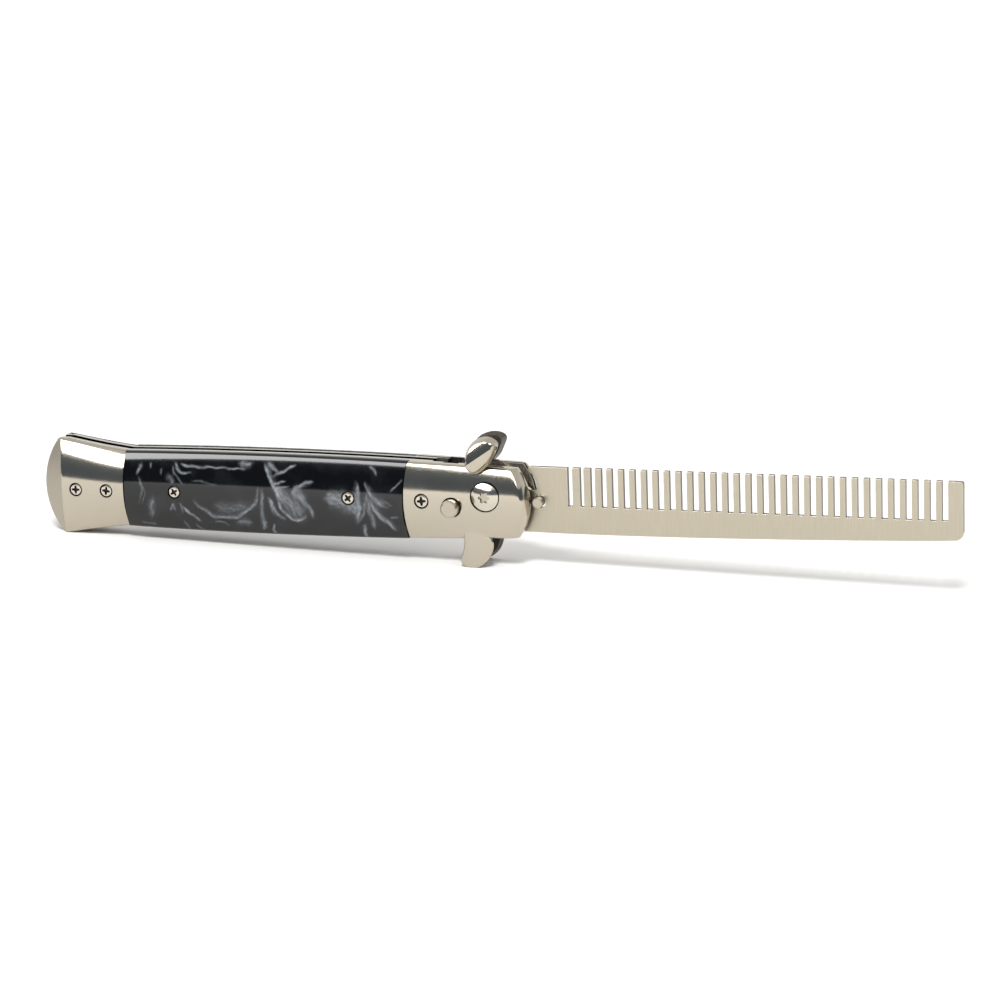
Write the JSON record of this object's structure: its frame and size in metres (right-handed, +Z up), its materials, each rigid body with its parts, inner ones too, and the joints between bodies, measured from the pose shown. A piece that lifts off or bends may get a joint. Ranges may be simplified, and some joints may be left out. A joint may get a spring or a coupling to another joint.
{
  "type": "folding pocket comb",
  "caption": "Pocket comb that swings out of a slotted handle on a side pivot, with guard ears, a push button, polished end caps and marbled grip scales.",
  "frame": {"origin": "bottom centre of the bounding box of the open comb, on the surface that it stands on", "axes": "+X along the length towards the comb's tip, +Z up, the way the teeth point; the button's face looks along -Y"},
  "size_m": [0.2286, 0.0162, 0.0321],
  "materials": {
    "polished_steel": "mirror polished",
    "brushed_steel": "fine vertical brushing",
    "liner_steel": "sheared and tumbled",
    "steel_pin": "turned",
    "screw_steel": "plated",
    "marbled_acrylic": "black with pearl swirls, polished"
  },
  "bodies": {
    "handle": {"liner_front": "liner_steel", "liner_rear": "liner_steel", "spacer": "liner_steel", "pommel_front": "polished_steel", "pommel_rear": "polished_steel", "scale_front": "marbled_acrylic", "scale_rear": "marbled_acrylic", "bolster_front": "polished_steel", "bolster_rear": "polished_steel", "pivot_screw": "screw_steel", "pivot_nut": "screw_steel", "pommel_screw_1_front": "screw_steel", "pommel_screw_1_rear": "screw_steel", "pommel_screw_2_front": "screw_steel", "pommel_screw_2_rear": "screw_steel", "scale_screw_1_front": "screw_steel", "scale_screw_1_rear": "screw_steel", "scale_screw_2_front": "screw_steel", "scale_screw_2_rear": "screw_steel", "bolster_screw_front": "screw_steel", "bolster_screw_rear": "screw_steel"},
    "comb": {"comb": "brushed_steel", "stop_pin": "steel_pin"},
    "button": {"button": "steel_pin"}
  },
  "joints": [
    {"name": "comb_pivot", "type": "hinge", "parent": "handle", "child": "comb", "pos_m": [0.00147, 0.00065, 0.01775], "axis": [0, -1, 0], "range_deg": [0, 180]},
    {"name": "button_press", "type": "slide", "parent": "handle", "child": "button", "axis": [0, 1, 0], "range_m": [0, 0.0009], "stiffness_N_per_m": 60}
  ]
}
